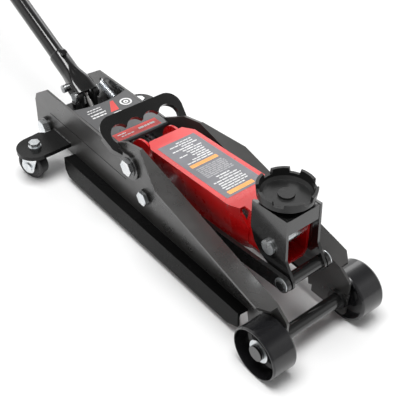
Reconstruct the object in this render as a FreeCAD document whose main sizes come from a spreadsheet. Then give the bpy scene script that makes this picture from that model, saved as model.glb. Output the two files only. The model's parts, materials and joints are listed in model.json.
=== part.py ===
import FreeCAD, Part
import math
import os
import re
import Sketcher

# Hydraulic trolley (floor) jack.  Millimetres.  +X points from the handle to the saddle, +Y to
# the jack's left, +Z up, and the floor is z = 0.  Drawing coordinates are measured from the point
# on the floor under the front axle; every sub-part's placement moves them by the sheet's axle_x,
# so that the document's origin lies on the floor under the middle of the whole jack.

doc = FreeCAD.newDocument("floor_jack")
sheet = doc.addObject("Spreadsheet::Sheet", "dims")
vec = FreeCAD.Vector
NODES = {}

DIMENSIONS = [
    ("axle_x", 681.5, "front axle ahead of the document's origin"),
    ("sheet_t", 4, "side plate, cover and bracket steel"),
    ("fit", 0.05, "radial clearance of a pin that turns in its hole"),
    ("air", 0.4, "clearance between neighbours that move"),
    # front wheels and axle
    ("wheel_r", 40, "front wheel radius"),
    ("wheel_in", 62.5, "front wheel inner face from the middle"),
    ("wheel_out", 103.4, "front wheel outer face from the middle"),
    ("rim_t", 3.5, "front wheel rim thickness"),
    ("hub_r", 16, "front wheel hub radius"),
    ("hub_out", 92.5, "front wheel hub end from the middle"),
    ("axle_r", 10, "front axle radius"),
    ("axle_half", 97.5, "half the front axle's length"),
    ("collar_r", 15, "weld collar radius"),
    ("washer_r", 17, "wheel washer radius"),
    # side plates
    ("tail_x", -640, "rear edge of the side plates"),
    ("face_y", 54.3, "outer face of the upright rear part"),
    ("splay", 0.009, "how fast the side plates spread towards the front"),
    ("foot_step", 1.5, "the foot bend lies this much outside the face above it"),
    ("foot_z", 46, "height of the foot bend"),
    ("deck_z", 134, "top edge beside the cover"),
    ("crease_z", 90, "crease along the rear part"),
    ("ramp_x", -400, "where the top edge starts to rise"),
    ("hump_x", -345, "hump above the arm pivot"),
    ("hump_z", 164.5, "top edge at the hump"),
    ("peak_x", -306.5, "rear corner of the top flange"),
    ("peak_z", 172.8, "height of the flange there"),
    ("fall", 0.254, "how fast the flange drops towards the front"),
    ("kink_x", -235, "where the flange reaches its full width"),
    ("flange_y", 84.3, "outer edge of the flange"),
    ("nose_x", -6, "front end of the flange"),
    ("neck_y", 60, "upright face beside the wheels"),
    ("nose_front", 14, "front edge of the nose"),
    ("nose_low", 14, "lower edge of the nose"),
    ("rail_back", -512, "rear end of the foot rail"),
    ("rail_front", -60, "front end of the foot rail"),
    ("rail_y", 78, "outer face of the foot rail"),
    ("rail_z", 49, "top of the foot rail"),
    ("lip_z", 12, "lower edge of the foot rail"),
    # cover
    ("cover_back", -509, "rear corners of the cover"),
    ("cover_front", -386, "front edge of the cover"),
    ("cover_z", 134, "top of the cover"),
    ("cover_t", 3, "cover thickness"),
    ("cover_lip", 6, "height of the cover's front edge, which is bent down"),
    ("cover_half", 51.2, "half the cover's width"),
    ("cover_scoop", 9.5, "how far the hollow rear edge runs in"),
    # arm pivot A, bracket pin B, link pins C and D
    ("arm_x", -335, "arm pivot A"),
    ("arm_z", 126, "arm pivot A"),
    ("reach_x", 278, "from A to the bracket pin B, lengthwise"),
    ("reach_z", 23, "from A to the bracket pin B, upward"),
    ("drop_x", 36, "from A to the link pivot D, lengthwise"),
    ("drop_z", 37, "from A down to the link pivot D"),
    ("shaft_r", 9, "arm pivot shaft radius"),
    ("tube_r", 15, "arm pivot tube radius"),
    ("pin_r", 8, "bracket pin radius"),
    ("link_pin_r", 7, "lower link pin radius"),
    ("link_bolt_r", 6, "rear link bolt radius"),
    ("crank_r", 50, "crank pin E from A"),
    ("crank_deg", 10, "crank pin behind straight down, at rest"),
    ("crank_pin_r", 8, "crank pin radius"),
    ("pivot_head_y", 62.4, "inner face of the pivot bolts' heads"),
    ("pivot_head_t", 5.3, "thickness of the pivot bolts' heads"),
    ("link_nut_y", 57.7, "inner face of the link bolts' nuts"),
    ("link_nut_t", 3.4, "thickness of the link bolts' nuts"),
    ("link_head_t", 5.4, "thickness of the link bolts' heads"),
    # lifting arm
    ("arm_half", 41.2, "half width over the arm's top"),
    ("waist_half", 32, "half width under the arm's waist"),
    ("tail_half", 31, "half width over the rear lugs"),
    ("tip_half", 26.3, "half width of the front end"),
    ("arm_t", 4, "arm steel"),
    ("lug_r", 33, "rear lug radius"),
    ("crank_end_r", 14, "rounded end of the crank web"),
    ("notch_x", 222, "where the notch beside the narrow front end starts, from A"),
    ("spring_pin_r", 3, "return spring pin radius"),
    ("spring_drop", 32, "return spring pin below A"),
    ("spring_gap", 5, "return spring axis beside the rear lug"),
    ("coil_r", 5, "spring coil radius"),
    ("coil_pitch", 2.6, "distance between two turns"),
    ("wire_r", 1, "spring wire radius"),
    # saddle bracket and links
    ("cheek_out", 31, "outer face of the bracket cheeks"),
    ("bracket_top", 208, "top of the bracket at its front"),
    ("bracket_fall", 5, "drop of the bracket's top towards the rear"),
    ("apron", 24, "height of the bracket's front plate"),
    ("bracket_front", -30, "front face of the bracket"),
    ("bracket_back", -94, "rear edge of the bracket"),
    ("lug_c_r", 12.5, "lower lug radius"),
    ("link_in", 33.5, "inner face of a link bar"),
    ("link_t", 6, "link bar thickness"),
    ("link_half", 12, "half the height of a link bar"),
    # saddle
    ("saddle_x", -64.5, "saddle axis"),
    ("saddle_z", 210.5, "underside of the saddle"),
    ("saddle_r", 40, "saddle rim radius"),
    ("saddle_foot_r", 32, "saddle underside radius"),
    ("saddle_rim", 13, "rim above the underside"),
    ("tooth_rise", 6.5, "teeth above the rim"),
    ("cup_floor", 4.5, "cup floor above the underside"),
    ("cup_wall", 4, "cup wall thickness"),
    ("stem_r", 9, "saddle stem radius"),
    ("tooth_gap", 17, "gap between two teeth"),
    ("boss_wall", 9, "wall of the saddle boss on the bracket"),
    ("boss_root", 3, "how far the boss reaches below the bracket's top"),
    # power unit
    ("base_half", 38, "half the power unit base's width"),
    ("unit_z", 107, "top of the power unit base"),
    ("ram_z", 79.5, "ram axis height"),
    ("barrel_r", 28, "reservoir radius"),
    ("barrel_t", 3.5, "reservoir wall"),
    ("barrel_back", -500, "rear end of the reservoir"),
    ("barrel_front", -414, "front end of the reservoir"),
    ("cylinder_r", 18, "ram cylinder radius"),
    ("ram_r", 11, "ram radius"),
    ("yoke_back", -374, "rear face of the ram yoke"),
    ("frame_bolt_x", -600, "rear frame bolt"),
    ("frame_bolt_z", 58, "rear frame bolt"),
    ("frame_bolt_r", 8, "rear frame bolt radius"),
    ("frame_tube_r", 13, "rear spacer tube radius"),
    ("frame_washer_r", 17, "rear frame washer radius"),
    ("frame_washer_top", 7, "outer face of the washer outside the side plate"),
    ("frame_head_top", 16, "outer face of the frame bolt's head outside the side plate"),
    ("pump_boss_r", 14, "pump barrel radius"),
    ("pump_depth", 54, "length of the cut that bores the pump barrel"),
    ("pivot_lug_in", 10.4, "inner face of the handle pivot lugs"),
    ("pivot_lug_out", 15.6, "outer face of the handle pivot lugs"),
    ("pivot_lug_r", 12, "handle pivot lug radius"),
    ("pivot_pin_r", 5, "handle pivot pin radius"),
    ("spindle_r", 5, "release valve spindle radius"),
    ("yoke_half", 12, "half the ram yoke's width"),
    ("slot_rise", 4, "half the length of the crank pin's slot"),
    # handle
    ("pivot_x", -554, "handle pivot"),
    ("pivot_z", 125, "handle pivot"),
    ("handle_deg", 25, "handle above level"),
    ("sleeve_r", 16.5, "handle socket sleeve radius"),
    ("sleeve_t", 2.2, "handle socket wall"),
    ("sleeve_low", 26, "lower end of the round sleeve from the pivot"),
    ("sleeve_top", 91, "upper end of the sleeve from the pivot"),
    ("fork_out", 20, "outer face of the socket's cheeks"),
    ("hood_in", 13.4, "inner face of the socket's hood over the pivot"),
    ("hood_out", 16.2, "outer face of the hood"),
    ("hood_len", 50, "length of the pressed part of the socket"),
    ("hood_slope", 22, "length over which the hood runs out into the sleeve"),
    ("socket_bolt_r", 4, "socket side bolt radius"),
    ("socket_bolt_at", 30, "socket side bolt from the pivot"),
    ("socket_bolt_back", 11, "socket side bolt behind the socket's axis"),
    ("fork_in", 16, "inner face of the socket's cheeks"),
    ("tube_out", 14, "handle tube radius"),
    ("tube_wall", 2, "handle tube wall"),
    ("joint_at", 480, "joint between the handle's two tubes"),
    ("handle_end", 930, "end of the handle from the pivot"),
    ("grip_len", 150, "grip length"),
    ("grip_r", 17.5, "grip radius"),
    ("valve_deg", 50, "release valve below level"),
    ("plunger_x", -577, "pump plunger"),
    ("plunger_r", 8, "pump plunger radius"),
    ("plunger_top", 116, "top of the plunger at rest"),
    # carry handle
    ("grab_deg", 37.5, "carry handle above level"),
    ("grab_reach", 85, "top of the carry handle from A"),
    ("grab_bar", 27, "width of its top bar at the finger cusps"),
    ("grab_lip", 7, "depth of the edge bent down along the finger scallops"),
    ("grab_lip_t", 3, "thickness of that edge"),
    ("grab_half", 75, "half the carry handle's width"),
    ("grab_open", 61, "half the width of its opening"),
    ("grab_leg_y", 57.7, "inner face of its legs at the pivot"),
    ("grab_t", 3.6, "carry handle thickness"),
    ("grab_eye_r", 22, "rounded end of its legs"),
    ("finger_r", 17, "radius of a finger scallop"),
    ("finger_gap", 30, "distance between the finger scallops"),
    ("grab_rim", 10, "depth of the rim bent down along its legs"),
    # casters
    ("king_x", -553, "caster swivel axis"),
    ("king_y", 109, "caster swivel axis from the middle"),
    ("trail", 9, "caster axle behind the swivel axis"),
    ("caster_turn", 22, "how far the casters are swivelled at rest"),
    ("caster_r", 25.5, "caster wheel radius"),
    ("caster_w", 23, "caster wheel width"),
    ("perch_z", 62, "top of the caster bracket"),
    ("perch_r", 31.5, "rounded end of the caster bracket"),
    ("perch_lip", 7, "depth of the caster bracket's lip"),
    ("perch_wall", 3.5, "thickness of the lip"),
    ("king_r", 6, "caster bolt radius"),
    ("caster_pin_r", 4, "caster axle radius"),
    ("fork_leg_t", 2.4, "caster fork steel"),
    ("fork_end_r", 13, "rounded end of a caster fork leg"),
]


def fill_sheet():
    for row, (alias, value, meaning) in enumerate(DIMENSIONS, start=1):
        sheet.set("A%d" % row, meaning)
        sheet.set("B%d" % row, str(value))
        sheet.setAlias("B%d" % row, alias)
    doc.recompute()


ALIASES = {alias for alias, _, _ in DIMENSIONS}


def cell(text):
    """Turn 'wheel_r - rim_t' into an expression on the sheet's cells."""
    return re.sub(r"[a-z_]+", lambda m: "dims." + m.group() if m.group() in ALIASES else m.group(), str(text))


def bind(thing, **sizes):
    """Bind properties of an object to the sheet; double underscores stand for dots."""
    for name, text in sizes.items():
        thing.setExpression(name.replace("__", "."), cell(text))
    return thing


# ---- PartDesign helpers ---------------------------------------------------------------------

def body_named(name, x="0", y="0", z="0", axis=None, angle="0"):
    """A body whose own origin is at (x, y, z) in drawing coordinates, turned about an axis."""
    body = doc.addObject("PartDesign::Body", name)
    body.Label = name
    if axis is not None:
        body.Placement = FreeCAD.Placement(vec(0, 0, 0), FreeCAD.Rotation(axis, 1))
        bind(body, Placement__Rotation__Angle=angle)
    bind(body, Placement__Base__x="axle_x + " + x, Placement__Base__y=y, Placement__Base__z=z)
    NODES[name] = body
    return body


def sketch_on(body, role, offset="0"):
    plane = [feature for feature in body.Origin.OriginFeatures if feature.Role == role][0]
    sketch = body.newObject("Sketcher::SketchObject", body.Name + "_sketch")
    sketch.AttachmentSupport = [(plane, "")]
    sketch.MapMode = "FlatFace"
    bind(sketch, AttachmentOffset__Base__z=offset)
    return sketch


def pin_point(sketch, geometry, point, u, v):
    """Hold a point of the sketch at the sheet's (u, v)."""
    for kind, text in (("DistanceX", u), ("DistanceY", v)):
        index = sketch.addConstraint(Sketcher.Constraint(kind, -1, 1, geometry, point, 1.0))
        sketch.setExpression("Constraints[%d]" % index, cell(text))


def outline(sketch, points):
    """A closed polygon whose corners are held at the sheet's sizes."""
    first = sketch.GeometryCount
    count = len(points)
    turn = 2 * math.pi / count
    corners = [vec(50 * math.cos(i * turn), 50 * math.sin(i * turn), 0) for i in range(count)]
    for i in range(count):
        sketch.addGeometry(Part.LineSegment(corners[i], corners[(i + 1) % count]))
    for i, (u, v) in enumerate(points):
        follower = first + (i + 1) % count
        sketch.addConstraint(Sketcher.Constraint("Coincident", first + i, 2, follower, 1))
        pin_point(sketch, first + i, 1, u, v)
    return sketch


def circle(sketch, u, v, radius):
    index = sketch.addGeometry(Part.Circle(vec(0, 0, 0), vec(0, 0, 1), 5))
    pin_point(sketch, index, 3, u, v)
    size = sketch.addConstraint(Sketcher.Constraint("Radius", index, 5.0))
    sketch.setExpression("Constraints[%d]" % size, cell(radius))
    return sketch


def pad(body, sketch, length):
    feature = body.newObject("PartDesign::Pad", body.Name + "_pad")
    feature.Profile = sketch
    bind(feature, Length=length)
    doc.recompute()
    return feature


def pocket(body, sketch, length):
    """Cut against the sketch's normal, and make sure that the cut takes something away."""
    before = body.Shape.Volume
    feature = body.newObject("PartDesign::Pocket", body.Name + "_pocket")
    feature.Profile = sketch
    bind(feature, Length=length)
    doc.recompute()
    if not body.Shape.Volume < before - 1e-3:
        raise RuntimeError("%s: a pocket cut nothing" % body.Name)
    return feature


def revolve(body, sketch, axis):
    feature = body.newObject("PartDesign::Revolution", body.Name + "_revolution")
    feature.Profile = sketch
    feature.ReferenceAxis = (sketch, [axis])
    feature.Angle = 360
    doc.recompute()
    return feature


def loft(body, sections):
    feature = body.newObject("PartDesign::AdditiveLoft", body.Name + "_loft")
    feature.Profile = sections[0]
    feature.Sections = sections[1:]
    feature.Ruled = True
    doc.recompute()
    return feature


def round_corners(body, sketch, corners, radius):
    """Fillet the edges that a pad made from the sketch's numbered corners."""
    feature = body.Tip
    frame = sketch.Placement
    along = frame.Rotation.multVec(vec(0, 0, 1))
    names = []
    for number in corners:
        start = frame.multVec(sketch.Geometry[number].StartPoint)
        for index, edge in enumerate(feature.Shape.Edges, start=1):
            ends = [vertex.Point for vertex in edge.Vertexes]
            if len(ends) == 2 and all(((end - start).cross(along)).Length < 1e-3 for end in ends):
                names.append("Edge%d" % index)
    fillet = body.newObject("PartDesign::Fillet", body.Name + "_fillet")
    fillet.Base = (feature, names)
    bind(fillet, Radius=radius)
    doc.recompute()
    return fillet


def upright_plate(body, points, inner, outer, side):
    """Pad an outline in X and Z between two distances from the middle plane."""
    sketch = outline(sketch_on(body, "XZ_Plane", inner if side < 0 else "-(%s)" % outer), points)
    pad(body, sketch, "%s - (%s)" % (outer, inner))
    return sketch


def upright_disc(body, u, v, radius, inner, outer, side):
    sketch = circle(sketch_on(body, "XZ_Plane", inner if side < 0 else "-(%s)" % outer), u, v, radius)
    pad(body, sketch, "%s - (%s)" % (outer, inner))


def cross_hole(body, u, v, radius, reach="200"):
    """Bore a hole along Y right through the body, reach to each side of the middle."""
    sketch = circle(sketch_on(body, "XZ_Plane", reach), u, v, radius)
    pocket(body, sketch, "2 * (%s)" % reach)


# ---- Part workbench helpers -----------------------------------------------------------------

TO_Y = FreeCAD.Rotation(vec(1, 0, 0), -90)
TO_X = FreeCAD.Rotation(vec(0, 1, 0), 90)


def primitive(kind, rotation, x, y, z, **sizes):
    thing = doc.addObject(kind, kind.split("::")[1].lower())
    thing.Placement = FreeCAD.Placement(vec(0, 0, 0), rotation)
    bind(thing, Placement__Base__x="axle_x + " + x, Placement__Base__y=y, Placement__Base__z=z)
    return bind(thing, **sizes)


def bar_y(x, z, radius, start, length):
    return primitive("Part::Cylinder", TO_Y, x, start, z, Radius=radius, Height=length)


def hex_y(x, z, flats, start, length):
    head = primitive("Part::Prism", TO_Y, x, start, z, Circumradius="(%s) / sqrt(3)" % flats, Height=length)
    head.Polygon = 6
    return head


def bar_z(x, y, radius, start, length):
    return primitive("Part::Cylinder", FreeCAD.Rotation(), x, y, start, Radius=radius, Height=length)


def hex_z(x, y, flats, start, length):
    head = primitive("Part::Prism", FreeCAD.Rotation(), x, y, start,
                     Circumradius="(%s) / sqrt(3)" % flats, Height=length)
    head.Polygon = 6
    return head


def fuse(*things):
    joined = doc.addObject("Part::MultiFuse", "fuse")
    joined.Shapes = list(things)
    joined.Refine = True
    return joined


def cut(base, tool):
    result = doc.addObject("Part::Cut", "cut")
    result.Base = base
    result.Tool = tool
    return result


def node(name, thing):
    thing.Label = name
    NODES[name] = thing
    return thing


def group(name, things):
    """Several separate solids of one kind in one node."""
    compound = doc.addObject("Part::Compound", name)
    compound.Links = list(things)
    return node(name, compound)


def ring_y(x, z, outer, inner, start, length):
    return cut(bar_y(x, z, outer, start, length), bar_y(x, z, inner, start + " - 1", length + " + 2"))


def both_sides(name, make):
    """Make the right and left piece; make takes the start expression builder of its side."""
    right = make(lambda inner, outer: "-(%s)" % outer)
    left = make(lambda inner, outer: "%s" % inner)
    return group(name, [right, left])


def mirror_left(name, source):
    twin = doc.addObject("Part::Mirroring", name)
    twin.Source = source
    twin.Normal = vec(0, 1, 0)
    return node(name, twin)


# ---- side plates and cover ------------------------------------------------------------------

def strip_section(body, x, face):
    """Section of the bent side plate: outer face points from the top down, sheet inside them."""
    outer = [("-(%s)" % y, z) for y, z in face]
    inner = [("-(%s - sheet_t)" % y, z) for y, z in reversed(face)]
    return outline(sketch_on(body, "YZ_Plane", x), outer + inner)


def face_at(x):
    """Distance of a side plate's outer face from the middle: the plates spread a little forward."""
    return "(face_y + ((%s) - tail_x) * splay)" % x


def ridge_at(x):
    """Height of the sloping top flange."""
    return "(peak_z - ((%s) - peak_x) * fall)" % x


def side_plate_web(body):
    stations = [("tail_x", "deck_z"), ("ramp_x", "deck_z"), ("hump_x", "hump_z"), ("peak_x", "peak_z"),
                ("nose_x", ridge_at("nose_x"))]
    sections = []
    for x, top in stations:
        foot = face_at(x) if x == "nose_x" else face_at(x) + " + foot_step"
        face = [(face_at(x), top), (face_at(x), "crease_z"), (foot, "foot_z - sheet_t")]
        sections.append(strip_section(body, x, face))
    loft(body, sections)


def side_plate_rail(body):
    """The foot rail: the sheet goes outward from the foot bend and then down to its lip."""
    root = "-(%s)" % face_at("rail_back")
    face = [
        (root, "foot_z"), ("-rail_y", "rail_z"), ("-rail_y", "lip_z"), ("-rail_y + sheet_t", "lip_z"),
        ("-rail_y + sheet_t", "rail_z - sheet_t - 1"), (root, "foot_z - sheet_t"),
    ]
    sketch = outline(sketch_on(body, "YZ_Plane", "rail_back"), face)
    pad(body, sketch, "rail_front - rail_back")


def side_plate_flange(body):
    """The flange that is bent outward along the sloping top of the front part."""
    stations = [("peak_x", face_at("peak_x") + " + 1"), ("kink_x", "flange_y"), ("nose_x", "flange_y")]
    sections = []
    for x, edge in stations:
        root, top = "-(%s - 1)" % face_at(x), ridge_at(x)
        corners = [("-(%s)" % edge, top), (root, top), (root, top + " - sheet_t"),
                   ("-(%s)" % edge, top + " - sheet_t")]
        sections.append(outline(sketch_on(body, "YZ_Plane", x), corners))
    loft(body, sections)
    corner = outline(sketch_on(body, "XY_Plane", "peak_z"), [
        ("nose_x - 16", "-flange_y - 1"), ("nose_x + 1", "-flange_y - 1"), ("nose_x + 1", "-flange_y + 13")])
    pocket(body, corner, "peak_z - foot_z")


def side_plate_trim(body):
    """Cut the sloping rear ear and the tapered ends of the rail."""
    cuts = [
        [("tail_x + 48", "deck_z"), ("tail_x + 48", "deck_z + 9"), ("tail_x - 9", "deck_z + 9"),
         ("tail_x - 9", "deck_z - 39"), ("tail_x + 1", "deck_z - 39"), ("tail_x + 7", "deck_z - 26")],
        [("rail_front - 22", "lip_z"), ("rail_front - 22", "lip_z - 9"), ("rail_front + 9", "lip_z - 9"),
         ("rail_front + 9", "lip_z + 14")],
        [("rail_back + 9", "lip_z"), ("rail_back + 9", "lip_z - 9"), ("rail_back - 9", "lip_z - 9"),
         ("rail_back - 9", "lip_z + 12"), ("rail_back", "lip_z + 12")],
    ]
    for corners in cuts:
        sketch = outline(sketch_on(body, "XZ_Plane", "200"), corners)
        pocket(body, sketch, "400")


def side_plate_holes(body):
    holes = [
        ("arm_x", "arm_z", "shaft_r"),
        ("arm_x + drop_x", "arm_z - drop_z", "link_bolt_r"),
        ("frame_bolt_x", "frame_bolt_z", "frame_bolt_r"),
        ("0", "wheel_r", "axle_r"),
    ]
    for x, z, radius in holes:
        cross_hole(body, x, z, radius)


def side_plates():
    body = body_named("side_plate_right")
    side_plate_web(body)
    side_plate_rail(body)
    side_plate_flange(body)
    brow = ridge_at("nose_x") + " - 1"
    nose = [("rail_front - 3", "foot_z + 4"), ("rail_front + 4", "nose_low"), ("nose_front", "nose_low"),
            ("nose_front", brow + " - 15"), ("nose_x", brow), ("rail_front", brow)]
    sketch = upright_plate(body, nose, "neck_y - sheet_t", "neck_y", -1)
    round_corners(body, sketch, [1, 2, 3], "sheet_t * 2")
    side_plate_trim(body)
    side_plate_holes(body)
    twin = doc.addObject("Part::Mirroring", "side_plate_twin")
    twin.Source = body
    twin.Normal = vec(0, 1, 0)
    hook_hole = bar_y("tail_x + 58", "deck_z - 18", "7", "face_y - 10", "20")
    node("side_plate_left", cut(twin, hook_hole))


def cover():
    body = body_named("top_cover")
    profile = [
        ("cover_back", "cover_z"), ("cover_front - 1", "cover_z"), ("cover_front + 1", "cover_z - 2"),
        ("cover_front + 1", "cover_z - cover_lip"), ("cover_front - 1", "cover_z - cover_lip"),
        ("cover_front - 2", "cover_z - cover_t"), ("cover_back", "cover_z - cover_t"),
    ]
    upright_plate(body, profile, "-cover_half", "cover_half", -1)
    sweep = "((cover_half ^ 2 + cover_scoop ^ 2) / (2 * cover_scoop))"
    scoop = circle(sketch_on(body, "XY_Plane", "cover_z + 1"),
                   "cover_back + cover_scoop - " + sweep, "0", sweep)
    pocket(body, scoop, "cover_t + 2")


def rear_frame():
    half = "face_y - sheet_t"
    under_head = "face_y + frame_washer_top"
    tube = ring_y("frame_bolt_x", "frame_bolt_z", "frame_tube_r", "frame_bolt_r",
                  "-(%s)" % half, "2 * (%s)" % half)
    node("rear_spacer_tube", tube)
    both_sides("rear_frame_bolts", lambda at: fuse(
        hex_y("frame_bolt_x", "frame_bolt_z", "24", at(under_head, "face_y + frame_head_top"),
              "frame_head_top - frame_washer_top"),
        bar_y("frame_bolt_x", "frame_bolt_z", "frame_bolt_r", at("30", under_head), under_head + " - 30")))
    both_sides("rear_frame_washers", lambda at: ring_y(
        "frame_bolt_x", "frame_bolt_z", "frame_washer_r", "frame_bolt_r",
        at("face_y + foot_step", under_head), "frame_washer_top - foot_step"))


# ---- front axle and wheels ------------------------------------------------------------------

def front_axle():
    node("front_axle", bar_y("0", "wheel_r", "axle_r", "-axle_half", "2 * axle_half"))
    both_sides("axle_collars", lambda at: ring_y(
        "0", "wheel_r", "collar_r", "axle_r", at("neck_y - sheet_t - 6", "neck_y - sheet_t"), "6"))
    both_sides("wheel_washers", lambda at: ring_y(
        "0", "wheel_r", "washer_r", "axle_r", at("hub_out + air", "hub_out + 2"), "2 - air"))
    both_sides("wheel_retainers", lambda at: cut(
        bar_y("0", "wheel_r", "axle_r + 1.5", at("hub_out + 2", "hub_out + 8"), "6"),
        bar_y("0", "wheel_r", "axle_r", at("hub_out + 1", "axle_half"), "axle_half - hub_out - 1")))


def wheel_profile(side):
    """Half section of a front wheel: a rim, a web nearer the inner side and a long hub."""
    points = [
        ("wheel_in + 3", "axle_r + fit"), ("hub_out", "axle_r + fit"), ("hub_out", "hub_r"),
        ("wheel_in + 16", "hub_r + 2"), ("wheel_in + 14", "wheel_r - rim_t - 3"),
        ("wheel_in + 18", "wheel_r - rim_t"), ("wheel_out", "wheel_r - rim_t + 0.8"),
        ("wheel_out", "wheel_r - 1.5"), ("wheel_out - 2.5", "wheel_r"), ("wheel_in + 2.5", "wheel_r"),
        ("wheel_in", "wheel_r - 1.5"), ("wheel_in", "wheel_r - rim_t - 1"),
        ("wheel_in + 8", "wheel_r - rim_t - 3"), ("wheel_in + 8", "hub_r + 2"), ("wheel_in + 3", "hub_r"),
    ]
    sign = "-" if side < 0 else ""
    return [("%s(%s)" % (sign, along), radius) for along, radius in points]


def front_wheels():
    for name, side in (("front_wheel_right", -1), ("front_wheel_left", 1)):
        body = body_named(name, z="wheel_r")
        sketch = outline(sketch_on(body, "YZ_Plane"), wheel_profile(side))
        revolve(body, sketch, "H_Axis")


# ---- power unit -----------------------------------------------------------------------------

CRANK = ("arm_x - crank_r * sin(crank_deg)", "arm_z - crank_r * cos(crank_deg)")


def power_unit_base():
    body = body_named("power_unit_base")
    block = [
        ("barrel_back", "frame_bolt_z - 14"), ("barrel_back", "unit_z"),
        ("pivot_x + 26", "unit_z - 5"), ("pivot_x + 10", "unit_z - 17"),
        ("frame_bolt_x + 6", "unit_z - 17"), ("frame_bolt_x - 16", "frame_bolt_z + 12"),
        ("frame_bolt_x - 16", "frame_bolt_z - 14"),
    ]
    sketch = upright_plate(body, block, "-base_half", "base_half", -1)
    round_corners(body, sketch, [0, 3, 4, 5, 6], "6")
    for side in (-1, 1):
        ear = [("pivot_x + pivot_lug_r", "unit_z - 19"), ("pivot_x + pivot_lug_r", "pivot_z"),
               ("pivot_x - pivot_lug_r", "pivot_z"), ("pivot_x - pivot_lug_r", "unit_z - 19")]
        upright_plate(body, ear, "pivot_lug_in", "pivot_lug_out", side)
        upright_disc(body, "pivot_x", "pivot_z", "pivot_lug_r", "pivot_lug_in", "pivot_lug_out", side)
    cross_hole(body, "pivot_x", "pivot_z", "pivot_pin_r", "pivot_lug_out + 2.4")
    cross_hole(body, "frame_bolt_x", "frame_bolt_z", "frame_tube_r", "60")
    pump = circle(sketch_on(body, "XY_Plane", "unit_z - 17"), "plunger_x", "0", "pump_boss_r")
    pad(body, pump, "8")
    bore = circle(sketch_on(body, "XY_Plane", "unit_z + 5"), "plunger_x", "0", "plunger_r + fit")
    pocket(body, bore, "pump_depth")
    seat = sketch_on(body, "YZ_Plane", "barrel_back")
    circle(seat, "0", "ram_z", "cylinder_r")
    pocket(body, seat, "12")
    valve_seat(body)


def valve_seat(body):
    """A slanting bore for the release valve."""
    sketch = sketch_on(body, "XY_Plane")
    sketch.AttachmentOffset = FreeCAD.Placement(vec(0, 0, 0), FreeCAD.Rotation(vec(0, 1, 0), 1))
    bind(sketch, AttachmentOffset__Base__x="pivot_x", AttachmentOffset__Base__z="pivot_z",
         AttachmentOffset__Rotation__Angle="valve_deg - 90")
    circle(sketch, "0", "0", "spindle_r + fit")
    pocket(body, sketch, "pump_depth + 2")


def turned_x(name, x, z, profile):
    """A turned piece on an axis along X."""
    body = body_named(name, x=x, z=z)
    revolve(body, outline(sketch_on(body, "XY_Plane"), profile), "H_Axis")
    return body


def hydraulics():
    span = "(barrel_front - barrel_back)"
    turned_x("reservoir_tube", "barrel_back", "ram_z", [
        ("0", "barrel_r - barrel_t"), (span, "barrel_r - barrel_t"), (span, "barrel_r"), ("0", "barrel_r")])
    turned_x("ram_cylinder", "barrel_back - 10", "ram_z", [
        ("0", "0"), ("6", "0"), ("6", "ram_r + 2"), (span + " + 10", "ram_r + 2"),
        (span + " + 10", "cylinder_r - 0.1"), ("0", "cylinder_r - 0.1")])
    turned_x("cylinder_end_nut", "barrel_front", "ram_z", [
        ("0", "ram_r + fit"), ("14", "ram_r + fit"), ("14", "ram_r + 5"), ("10", "ram_r + 9"),
        ("4", "ram_r + 11"), ("4", "barrel_r - 1"), ("0", "barrel_r - 1")])
    turned_x("ram_rod", "yoke_back", "ram_z", [("-92", "0"), ("0", "0"), ("0", "ram_r"), ("-92", "ram_r")])


def unit_fittings():
    plug = fuse(hex_z("barrel_back + 30", "0", "11", "ram_z + barrel_r + 1.5", "4"),
                bar_z("barrel_back + 30", "0", "6.5", "ram_z + barrel_r - 0.7", "2.2"))
    node("filler_plug", plug)
    screw = fuse(hex_z("barrel_back - 13", "-24", "11", "unit_z - 0.5", "3.5"),
                 bar_z("barrel_back - 13", "-24", "6.5", "unit_z - 2.3", "1.8"))
    node("relief_valve_screw", screw)
    body = body_named("release_valve_spindle", x="pivot_x", z="pivot_z", axis=vec(0, 1, 0), angle="valve_deg")
    stem = [("0", "0"), ("46", "0"), ("46", "3"), ("43", "spindle_r"), ("12", "spindle_r"), ("12", "4"),
            ("5", "4"), ("3.6", "5.2"), ("0", "6.2"), ("-3.6", "5.2"), ("-5.8", "2.4"), ("-6.2", "0")]
    revolve(body, outline(sketch_on(body, "XY_Plane"), stem), "H_Axis")
    top = "plunger_top"
    plunger = fuse(bar_z("plunger_x", "0", "plunger_r", top + " - 46", "42"),
                   bar_z("plunger_x", "0", "plunger_r - 3", top + " - 5", "2"),
                   bar_z("plunger_x", "0", "plunger_r", top + " - 3", "3"))
    node("pump_plunger", plunger)


def ram_yoke():
    """Fork with an upright slot for the crank pin, which rises a little as it swings."""
    body = body_named("ram_yoke")
    crank = CRANK[0]
    block = [
        ("yoke_back", "ram_z - 13"), (crank + " + 15", "ram_z - 17"),
        (crank + " + 15", "ram_z + 17"), ("yoke_back", "ram_z + 13"),
    ]
    sketch = upright_plate(body, block, "-yoke_half", "yoke_half", -1)
    round_corners(body, sketch, [1, 2], "8")
    slot_r = "crank_pin_r + 1.1"
    low, high, reach = "ram_z - slot_rise", "ram_z + slot_rise", "yoke_half + 8"
    for height in (low, high):
        cross_hole(body, crank, height, slot_r, reach)
    window = outline(sketch_on(body, "XZ_Plane", reach), [
        (crank + " - " + slot_r, low), (crank + " + " + slot_r, low),
        (crank + " + " + slot_r, high), (crank + " - " + slot_r, high)])
    pocket(body, window, "2 * (%s)" % reach)


# ---- lifting arm ----------------------------------------------------------------------------

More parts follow.
